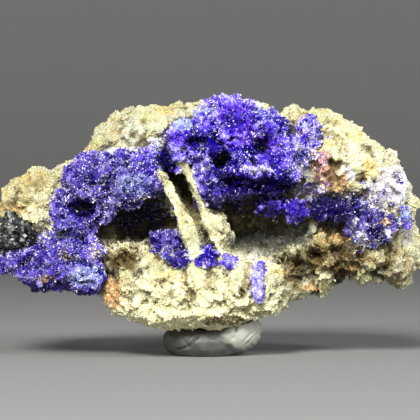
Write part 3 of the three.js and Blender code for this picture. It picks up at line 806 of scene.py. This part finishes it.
# How strongly each stain may show on the back, where noise alone places it
BACK_STAINS = {
    "cream": 0.34,
    "tan": 0.24,
    "green": 0.34,
    "ochre": 0.28,
    "rust": 0.16,
    "buff": 0.3,
    "grey": 0.12,
}
# The dark stains and the painted shade
DARK_MASKS = ("deep_shade", "olive", "grey", "tan")  # kept off the thin walls

# ---- Shapes that the CAD nodes are given ----
# node, bed voxel, lump height, lump size, how far the free side is drawn in, crystal spacing, crystal size
CRUSTS = (
    ("linarite_crown", 0.24, 2.2, 2.1, 0.2, 0.13, 0.205),
    ("linarite_shoulder", 0.24, 1.5, 1.8, 0.2, 0.13, 0.205),
    ("linarite_foot", 0.24, 1.7, 2.0, 0.2, 0.13, 0.21),
    ("linarite_vug_lining", 0.2, 0.9, 1.5, 0.25, 0.13, 0.22),
    ("linarite_knot", 0.12, 0.15, 1.2, 0.4, 0.16, 0.13),
    ("linarite_chip", 0.12, 0.2, 1.0, 0.4, 0.13, 0.13),
    ("linarite_streak", 0.12, 0.3, 0.8, 0.25, 0.12, 0.15),
    ("linarite_ball", 0.18, 0.5, 1.3, 0.25, 0.12, 0.20),
    ("linarite_cheek", 0.2, 1.6, 1.5, 0.2, 0.13, 0.22),
    ("linarite_eye", 0.16, 0.5, 1.0, 0.25, 0.12, 0.20),
    ("linarite_drift", 0.2, 0.6, 1.2, 0.3, 0.17, 0.22),
)
# Hollows in the crusts as (x, z, half width, half height, depth); a negative depth is a ledge
CRUST_HOLLOWS = (
    (1.55, 24.8, 1.25, 1.2, 3.8), (6.5, 26.6, 1, 0.95, 2.2), (6.3, 28.5, 0.5, 0.5, 1.4),
    (1, 27, 0.8, 0.4, 2), (-1.5, 27.1, 1.2, 0.55, 2), (5.3, 24.5, 0.45, 0.5, 1.6),
    (9.2, 22.2, 0.9, 0.8, 1.2), (2.8, 22.3, 1.7, 0.8, 2), (7, 21.6, 2.8, 0.7, 2),
    (6.2, 23.4, 2.3, 0.5, -0.9), (-5.5, 24.2, 0.65, 2.6, 6), (-15.7, 18.8, 1.6, 1.1, 2.8),
    (-12.9, 21.4, 0.3, 0.9, 1.4), (-12.2, 21.9, 0.25, 1.2, 1.4), (-11.4, 22.3, 0.25, 1.1, 1.2),
    (-17.6, 21.6, 0.6, 0.5, 1.2), (-9.4, 19.2, 0.6, 0.4, 1.2), (-17.4, 12.6, 0.7, 0.5, 1.4),
    (-22.4, 12.2, 0.9, 0.4, 1.2), (18.6, 18.2, 0.6, 0.6, 1.4), (20.8, 15.2, 0.6, 0.5, 1.2),
)
# Hollows in the rock, like those in the crusts
ROCK_HOLLOWS = (
    (-3, 4.9, 10.5, 1.5, -1.5), (-21.4, 17.2, 2.6, 1.2, -1), (-20.8, 16.2, 1.8, 1, -2),
    (-23.4, 19.4, 3.4, 0.5, 0.35), (-20.2, 20.2, 0.6, 1.6, 0.3), (-10.3, 12.3, 1.3, 0.9, 1.8),
    (-12.4, 11.4, 0.5, 0.6, 0.9), (13.6, 12.9, 1, 0.8, 2.4), (9.9, 12.4, 0.4, 0.8, 1.2),
    (11.2, 11.6, 0.4, 0.9, 1.2), (15.9, 13.2, 1, 0.6, 1.6), (16.3, 11.2, 1, 0.6, 1.6),
    (19.2, 13, 0.8, 0.5, 1.2), (22, 11.6, 0.9, 0.5, 1.2), (3.9, 8.5, 0.5, 0.7, 1.2),
    (-7.9, 7.3, 0.35, 0.35, 0.8), (-6.4, 7, 0.35, 0.3, 0.8), (-5.6, 9.6, 0.5, 0.4, 0.9),
    (0.6, 10.2, 0.6, 0.35, 0.8), (-2, 7.8, 0.6, 0.3, 0.7), (15.7, 24.3, 1, 0.45, 1.2),
    (23.6, 22.6, 0.35, 0.6, 1), (23.1, 20.7, 0.4, 0.4, 1), (19, 22.2, 0.5, 0.4, 0.8),
)
# Where the rock is roughest
ROUGH_ROCK = (
    (-10.5, 12.8, 4.4, 2.6, 1.5), (16, 12.4, 9, 3.6, 1.4), (15, 22.8, 3, 2, 0.6), (1.4, 16, 1.4, 2.4, 0.5),
    (-2.4, 7, 11, 3.6, 0.75),
)
# Where the outline at the two ends is moved, as (x, z, half width, half height, sideways, upwards)
OUTLINE_SHIFTS = (
    (-26, 20.8, 1.1, 1.6, 0, -0.4), (-23.6, 23.2, 1, 1.4, 0, -0.5), (-22, 23.6, 0.7, 1.2, 0, 0.5),
    (-20, 23.9, 0.9, 1.2, 0, -0.5), (-24.4, 8.8, 1.5, 2.2, 0, 1), (-21.4, 9, 1.1, 2, 0, -0.8),
    (17.5, 8, 1.6, 3, 0, 1.3), (15.2, 7, 1.2, 2.6, 0, -1.1), (24.5, 9.2, 1.4, 3.5, 0, -1.8),
    (26.6, 9.6, 1.1, 3, 0, 1.2), (23.8, 24.6, 1.1, 2, 0.1, 0.9), (25.9, 21.8, 1.3, 2.4, -0.1, -1.5),
)
# The two thin walls across the caves, as lines of (x, z) on their front edges
WALL_LINES = (
    ((-8.0, 24.6), (-6.4, 23.2), (-5.2, 21.5), (-3.8, 18.5), (-2.5, 15.6), (-1.8, 13.2), (-1.7, 9.6)),
    ((-4.5, 25.6), (-2.8, 23.4), (-1.3, 20.0), (-0.2, 16.6), (1.2, 13.8), (3.0, 11.6)),
)
WALL_REACH = 1.1  # how far a wall reaches from its line
WALL_FRONT = (-7.4, -6.0)  # the walls' front edges lie before these depths
UNDERSIDE = (4.6, 6.5)  # the rock's underside ends between these heights
LEFT_KNOB = (-20.0, -15.0)  # the knob at its left end fades out between these places across
GALENA_GROWTH = 0.28  # how far the galena's bed stands out past its CAD node
SINK = 0.35  # a bed reaches this far into the rock under it
BURIED = 0.5  # no crystals where the bed is deeper in the rock than this
STRAY_FOOT = (11.0, 15.0)  # strays near the crusts begin between these heights
SHELTER_RAYS = 12
RAY_START = 0.25  # how far off the surface a ray starts


def distances(places, x, z, wide, tall):
    """How far each place is from a spot in the front view, 1 at the spot's uneven edge."""
    right, deep, up = places.T
    to_side = right - x + 0.22 * np.sin(3.1 * up + 1.4 * deep) + 0.12 * np.sin(7.3 * up + 2.9 * right)
    upward = up - z + 0.22 * np.sin(2.7 * right - 1.1 * deep) + 0.12 * np.sin(6.7 * right + 3.7 * up)
    return np.hypot(to_side / wide, upward / tall)


def pressed(places, spot):
    """1 in the middle of a spot, falling away past its uneven edge."""
    return np.exp(-(distances(places, *spot) ** 3))


def behind(places):
    """0 on the front half, 1 on the back."""
    return share(places[:, 1], FRONT_EDGE, BACK_EDGE)


def painted(places, spots):
    """How stained each place is: the strongest spot over it, on the front half only."""
    level = np.zeros(len(places))
    for *spot, strength in spots:
        level = np.maximum(level, strength * (1 - share(distances(places, *spot), *SPOT_EDGE)))
    return level * (1 - behind(places))


def stain(thing, stains, back_levels=None, clean=0.0):
    """Paints every stain, and the painted shade and light, on the mesh, the dark ones less where it is kept
    clean.
    """
    places = points_of(thing)
    for name, spots in stains.items():
        level = painted(places, spots) * (1 - clean * (name in DARK_MASKS))
        if back_levels is not None:
            level = np.maximum(level, back_levels.get(name, 0.0) * behind(places))
        store(thing, name, level)


# ---- What lies near a mesh ----
def tree_over(things):
    """What finds the nearest surface of several meshes at once."""
    corners = []
    faces = []
    for thing in things:
        start = len(corners)
        corners += [tuple(place) for place in points_of(thing)]
        faces += [[start + index for index in face.vertices] for face in thing.data.polygons]
    return BVHTree.FromPolygons(corners, faces)


def depth_inside(finder, places, reach=3.0):
    """How far each place is under the surface: positive inside, negative outside."""
    depths = np.full(len(places), -reach)
    for index, place in enumerate(places):
        nearest, normal, _, distance = finder.find_nearest(Vector(place), reach)
        if nearest is not None:
            inside = (nearest - Vector(place)).dot(normal) > 0
            depths[index] = distance if inside else -distance
    return depths


def relaxed(mesh, values, rounds):
    """The values evened out along the mesh's edges."""
    ends = np.empty(len(mesh.edges) * 2, np.int32)
    mesh.edges.foreach_get("vertices", ends)
    first, second = ends.reshape(-1, 2).T
    degree = np.bincount(ends, minlength=len(values))
    for _ in range(rounds):
        total = np.bincount(first, values[second], len(values))
        total += np.bincount(second, values[first], len(values))
        values = 0.5 * values + 0.5 * total / np.maximum(degree, 1)
    return values


def sheltered(thing, finder, reach, rounds):
    """How shut in each place on the mesh is, which sets painted shade: the share of rays from it that meet
    something near.
    """
    rng = np.random.default_rng(7)
    aims = rng.normal(size=(SHELTER_RAYS, 3))
    aims /= np.linalg.norm(aims, axis=1)[:, None]
    level = np.zeros(len(thing.data.vertices))
    for index, (place, normal) in enumerate(zip(points_of(thing), normals_of(thing))):
        start = Vector(place + RAY_START * normal)
        met = 0
        for aim in aims:
            turned = aim if aim @ normal > 0 else -aim
            hit = finder.ray_cast(start, Vector(turned), reach)
            met += 0 if hit[0] is None else 1 - hit[3] / reach
        level[index] = met / SHELTER_RAYS
    return relaxed(thing.data, level, rounds)


def distance_to_line(places, line):
    """How far each place is, in the front view, from a line of (x, z) points."""
    flat = places[:, [0, 2]]
    nearest = np.full(len(flat), 1e9)
    for start, end in zip(line[:-1], line[1:]):
        start = np.array(start)
        along = np.array(end) - start
        t = np.clip(((flat - start) @ along) / (along @ along), 0, 1)
        nearest = np.minimum(nearest, np.linalg.norm(flat - start - t[:, None] * along, axis=1))
    return nearest


# ---- Outline shifts and hollows ----
def reshaped(thing):
    """The mesh with the outline at its ends moved where the shape needs it."""
    places = points_of(thing)
    moved = places.copy()
    for *spot, sideways, upwards in OUTLINE_SHIFTS:
        pull = pressed(places, spot)
        moved[:, 0] += pull * sideways
        moved[:, 2] += pull * upwards
    move_points(thing, moved)
    return thing


def hollow(thing, hollows):
    """Pushes hollows into the mesh from the front, which takes their places down in its relief too, so they
    get painted shade.
    """
    places = points_of(thing)
    relief = read(thing, "relief")
    facing = share(-normals_of(thing)[:, 1], -0.4, 0.2)
    for *spot, depth in hollows:
        push = depth * pressed(places, spot) * facing
        places[:, 1] += push
        relief -= 0.8 * push
    move_points(thing, places)
    store(thing, "relief", relief)


# ---- Rock ----
def on_walls(places):
    """1 on the front parts of the thin walls, 0 away from them."""
    away = np.min([distance_to_line(places, line) for line in WALL_LINES], axis=0)
    forward = 1 - share(places[:, 1], *WALL_FRONT)
    return forward * (1 - share(away, 0.7 * WALL_REACH, WALL_REACH))


def rock_body():
    """The rock with its chips and pits; the thin walls, the underside and the left knob are kept calmer."""
    rock = reshaped(even_copy("matrix", "rock_body", voxel=0.27, rounds=3))
    places = points_of(rock)
    walls = on_walls(places)
    underside = 1 - share(places[:, 2], *UNDERSIDE)
    knob = 0.2 * (1 - share(places[:, 0], *LEFT_KNOB))
    smoothed = np.max([0.4 * walls, 0.85 * underside, knob], axis=0)
    store(rock, "calm", smoothed - painted(places, ROUGH_ROCK) * (1 - walls))
    weathered(
        rock, ROCK, swell=(0.45, 4.0), lump=(0.45, 0.95), chip=(0.4, 1.8), grain=(0.25, 0.55), pit=(0.5, 1.2)
    )
    hollow(rock, ROCK_HOLLOWS)
    # Less painted shade in the hollows of the thin walls and of the back
    store(rock, "relief", read(rock, "relief") * (1 - 0.85 * walls) * (1 - 0.6 * behind(places)))
    return rock, walls


rock, walls = rock_body()
rock_finder = tree_over([rock])


# ---- Linarite crusts ----
def crust_bed(node, voxel, lump_height, lump_size, shrink):
    """The crust's lumpy ground, reaching down to the rock and drawn in where it is free."""
    bed = reshaped(even_copy(node, node + "_bed", voxel, rounds=4))
    places = points_of(bed)
    normals = normals_of(bed)
    near_rock = share(depth_inside(rock_finder, places), -0.6, -0.35)
    free = shrink + 0.25 * share(normals[:, 2], 0.3, 0.9)
    offset = near_rock * (SINK + free) - free
    move_points(bed, places + offset[:, None] * normals)
    fill(bed, calm=0.0)
    weathered(
        bed,
        LINARITE,
        swell=(0.3, 3.2),
        lump=(0.6 * lump_height, lump_size),
        fold=(0.35 * lump_height, 2.6),
        chip=(0.25, 1.1),
        grain=(0.9, 0.9),
        pit=(0.8 * lump_height, 1.7),
    )
    hollow(bed, CRUST_HOLLOWS)
    places = points_of(bed)
    buried = depth_inside(rock_finder, places)
    bare = 0.75 * share(painted(places, CRUST_STAINS_AND_SHADING["deep_shade"]), 0.8, 1.1)
    store(bed, "room", (1 - share(buried, 0.1, BURIED)) * (1 - bare))
    store(bed, "edge", share(buried, -1.1, -0.1))
    fill(bed, tone=0.45)
    # How shut in the bed is, for the shade painted into the crust's crevices
    store(bed, "shelter", sheltered(bed, tree_over([bed]), reach=2.4, rounds=1))
    return bed


beds = {}
for index, (node, voxel, lump_height, lump_size, shrink, spacing, size) in enumerate(CRUSTS):
    bed = crust_bed(node, voxel, lump_height, lump_size, shrink)
    crystals = scattered(node + "_crystals", bed, LINARITE, BLADES, spacing, size, lean=0.6, seed=10 + index)
    for thing in (bed, crystals):
        stain(thing, CRUST_STAINS_AND_SHADING)
    if node == "linarite_drift":
        fill(bed, frost=0.8, cream=0.5)  # rock shows between these crystals
    finish_piece(crystals)
    beds[node] = bed

# ---- Loose grains, crystals and needles on the rock, and the rock's stains ----
everything = tree_over([rock, *beds.values()])
# Painted shade: how shut in each place on the rock is sets how dark it is painted in the caves and hollows
store(rock, "shelter", sheltered(rock, everything, reach=9.0, rounds=4) * (1 - walls))
places = points_of(rock)
off_crusts = -depth_inside(tree_over(beds.values()), places, 2.0)

room = share(off_crusts, -0.2, 0.1) * (1 - 0.6 * behind(places)) * (1 - walls)
grains = scattered("rock_grains", rock, ROCK, CHIPS, spacing=0.31, size=0.27, lean=0.8, seed=5, room=room)

near_crusts = 0.3 * (1 - share(off_crusts, 0.2, 1.0)) * share(off_crusts, -0.3, 0.0)
near_crusts *= share(places[:, 2], *STRAY_FOOT)
room = np.maximum(painted(places, FLECKS), near_crusts * (1 - walls))
flecks = scattered(
    "linarite_flecks",
    rock,
    LINARITE,
    BLADES,
    spacing=0.15,
    size=0.23,
    lean=0.8,
    seed=6,
    spread=0.6,
    room=room,
)
fill(flecks, edge=0.35, relief=-0.1, shelter=0.0)
stain(flecks, CRUST_STAINS_AND_SHADING)
finish_piece(flecks)

room = painted(places, NEEDLE_BEDS) * share(off_crusts, -0.2, 0.1)
needles = scattered("cave_needles", rock, ROCK, NEEDLES, spacing=0.12, size=0.6, lean=1.0, seed=8, room=room)
fill(needles, shelter=0.0, relief=0.0)
stain(needles, NEEDLE_STAINS)
finish_piece(needles)

stain(rock, ROCK_STAINS_AND_SHADING, BACK_STAINS, walls)
stain(grains, ROCK_STAINS_AND_SHADING, BACK_STAINS)
finish_piece(rock, ["matrix"])
finish_piece(grains)
for node, bed in beds.items():
    finish_piece(bed, [node])


# ---- Galena ----
def galena_material():
    made, n, place = blank_material("galena")
    place = n.scaled(place, PER_METRE)
    broad = n.noise(place, 0.9, 4.0, 0.6)
    colour = n.mix(n.attribute("tone"), (0.014, 0.014, 0.016), (0.16, 0.16, 0.165))
    colour = n.mix(n.ramp(broad, 0.52, 0.68), colour, (0.30, 0.33, 0.29))
    colour = n.mix(n.ramp(n.noise(place, 0.6, 3.0), 0.6, 0.72), colour, (0.01, 0.01, 0.012))
    metal = n.ramp(broad, 0.62, 0.45, 0.0, 0.85)
    roughness = n.plus(0.2, n.times(broad, 0.3))
    n.finish_surface({"Base Color": colour, "Metallic": metal, "Roughness": roughness})
    return made


GALENA = galena_material()
galena = reshaped(even_copy("galena_patch", "galena_bed", voxel=0.2, rounds=3))
move_points(galena, points_of(galena) + GALENA_GROWTH * normals_of(galena))
fill(galena, calm=0.0)
weathered(galena, GALENA, swell=(0.25, 1.6), chip=(0.5, 0.9), grain=(0.15, 0.6), pit=(0.4, 1.4))
store(galena, "room", 1 - share(depth_inside(rock_finder, points_of(galena)), 0.0, 0.3))
cubes = scattered("galena_crystals", galena, GALENA, CUBES, spacing=0.26, size=0.42, lean=1.2, seed=3)
finish_piece(galena, ["galena_patch"])
finish_piece(cubes)


# ---- Mounting putty ----
def putty_material():
    made, n, place = blank_material("putty")
    place = n.scaled(place, PER_METRE)
    broad = n.noise(place, 2.4, 3.0, 0.55)
    fine = n.noise(place, 0.25, 3.0, 0.6)
    colour = n.mix(n.ramp(broad, 0.35, 0.65), (0.068, 0.068, 0.061), (0.090, 0.090, 0.081))
    colour = n.mix(n.ramp(fine, 0.62, 0.75, 0.0, 0.5), colour, (0.26, 0.26, 0.23))
    # Painted sheen: the dust mask lightens the putty, most on its right end, where it stands in for light
    # reflected off the top face
    sheen_and_dust = n.ramp(n.plus(n.attribute("dust"), n.about_zero(broad, 0.8)), 0.3, 0.9)
    colour = n.mix(sheen_and_dust, colour, (0.42, 0.42, 0.36))
    height = n.times(n.plus(n.times(broad, 0.2), n.times(fine, 0.05)), 1 / PER_METRE)
    normal = n.add("ShaderNodeBump", {"Height": height, "Distance": 1.0}).outputs[0]
    roughness = n.plus(0.3, n.times(n.noise(place, 0.8, 2.0), 0.3))
    values = {"Base Color": colour, "Roughness": roughness, "Normal": normal}
    n.finish_surface({**values, "IOR": 1.5, "Specular IOR Level": 0.55})
    return made


# Creases pressed into the front of the putty: the line's points as (x, z), its half width and its depth
PUTTY_CREASES = (
    (((-3.9, 0.9), (-2.6, 1.3), (-1.9, 2.2), (-1.5, 2.6)), 0.14, 0.35),
    (((-2.6, 1.3), (-3.0, 2.0)), 0.10, 0.2),
    (((4.3, 1.9), (5.0, 2.6), (5.9, 3.4)), 0.12, 0.25),
    (((4.8, 1.6), (5.5, 2.4), (6.3, 3.1)), 0.10, 0.18),
    (((3.1, 2.4), (3.3, 3.2), (3.3, 3.9)), 0.16, 0.25),
)
# Pale patches on the putty as spots: a painted sheen of light on its right end, and a fainter pale patch on
# its left
PUTTY_SHEEN_AND_DUST = ((4.4, 3.0, 3.2, 2.2, 0.8), (-2.6, 2.6, 2.0, 0.8, 0.3))

putty = even_copy("mounting_putty", "putty_lump", voxel=0.16, rounds=9)
places = points_of(putty)
normals = normals_of(putty)
front = 1 - share(normals[:, 1], -0.4, 0.1)
press = np.zeros(len(places))
for line, half_width, depth in PUTTY_CREASES:
    press += depth * np.exp(-((distance_to_line(places, line) / half_width) ** 2)) * front
off_the_foot = share(places[:, 2], 0.1, 0.5)
move_points(putty, places - normals * (press * off_the_foot)[:, None])
store(putty, "dust", painted(places, PUTTY_SHEEN_AND_DUST))
putty.data.materials.append(putty_material())
shade_smooth(putty.data)
finish_piece(putty, ["mounting_putty"])

# ---- Stage, lights and camera, in metres ----
FLOOR_RADIUS = 1.2
BEND_RADIUS = 0.6  # of the sweep between the floor and its wall
BEND_STEPS = 12
WALL_HEIGHT = 1.5
STAGE_STEPS = 96


def stage_bowl():
    """A round floor that sweeps up into a wall."""
    flat = FLOOR_RADIUS - BEND_RADIUS
    profile = [(0.0, 0.0), (flat, 0.0)]
    for step in range(BEND_STEPS + 1):
        turn = math.pi / 2 * step / BEND_STEPS
        profile.append((flat + BEND_RADIUS * math.sin(turn), BEND_RADIUS * (1 - math.cos(turn))))
    profile.append((FLOOR_RADIUS, WALL_HEIGHT))
    bowl = bmesh.new()
    rings = []
    for radius, z in profile:
        count = 1 if radius == 0 else STAGE_STEPS
        angles = [2 * math.pi * i / STAGE_STEPS for i in range(count)]
        rings.append([bowl.verts.new((radius * math.cos(a), radius * math.sin(a), z)) for a in angles])
    for i in range(STAGE_STEPS):
        j = (i + 1) % STAGE_STEPS
        bowl.faces.new((rings[0][0], rings[1][i], rings[1][j]))
        for inner, outer in zip(rings[1:-1], rings[2:]):
            bowl.faces.new((inner[i], outer[i], outer[j], inner[j]))
    mesh = bpy.data.meshes.new("stage_floor")
    bowl.to_mesh(mesh)
    bowl.free()
    shade_smooth(mesh)
    return link("stage_floor", mesh)


floor = stage_bowl()
made, n, place = blank_material("stage_paper")
away = n.vector("LENGTH", place)
# Painted shade and light: the paper is darker near the middle, where the lamps light it most, and lighter out
# to the wall, where they light it least
shade = n.mix(n.ramp(away, 0.4, FLOOR_RADIUS), (0.235, 0.235, 0.235), (0.345, 0.345, 0.345))
n.finish_surface({"Base Color": shade, "Roughness": 0.9})
floor.data.materials.append(made)

# name, place, width, power in watts, colour; each is aimed at the middle of the specimen
LIGHTS = (
    ("key", (-0.10, -0.60, 0.36), 0.20, 8.2, (1.0, 0.98, 0.93)),
    ("side", (0.40, -0.46, 0.36), 0.20, 2.4, (0.96, 0.97, 1.0)),
    ("glint", (-0.30, -0.50, 0.20), 0.04, 0.9, (1.0, 1.0, 1.0)),
    ("rim", (0.55, -0.22, 0.16), 0.25, 1.6, (1.0, 1.0, 1.0)),
    ("low", (0.0, -0.60, 0.03), 0.20, 0.4, (1.0, 0.98, 0.95)),
)
middle = Vector((cad_low + cad_high) / 2)
for name, place, width, power, colour in LIGHTS:
    lamp = bpy.data.lights.new(name, "AREA")
    lamp.shape = "DISK"
    lamp.size = width
    lamp.energy = power
    lamp.color = colour
    thing = link(name, lamp)
    thing.location = place
    thing.rotation_euler = (middle - Vector(place)).to_track_quat("-Z", "Y").to_euler()

world = bpy.data.worlds.new("studio")
world.use_nodes = True
sky = world.node_tree.nodes["Background"].inputs
sky["Color"].default_value = (0.9, 0.95, 1.0, 1.0)
sky["Strength"].default_value = 0.15
bpy.context.scene.world = world
bpy.context.scene.view_settings.view_transform = "Standard"

LENS = 200.0  # mm
SENSOR = 36.0  # mm
PICTURE_WIDTH = 0.0525  # across at the crusts
PICTURE_CENTRE = (0.00013, -0.0055, 0.0185)
camera_data = bpy.data.cameras.new("camera")
camera_data.lens = LENS
camera_data.sensor_width = SENSOR
camera_data.clip_start = 0.01
camera_data.clip_end = 10.0
camera = link("camera", camera_data)
distance = PICTURE_WIDTH * LENS / SENSOR
camera.location = (PICTURE_CENTRE[0], PICTURE_CENTRE[1] - distance, PICTURE_CENTRE[2])
camera.rotation_euler = (math.pi / 2, 0, 0)
bpy.context.scene.camera = camera

bpy.context.view_layer.update()
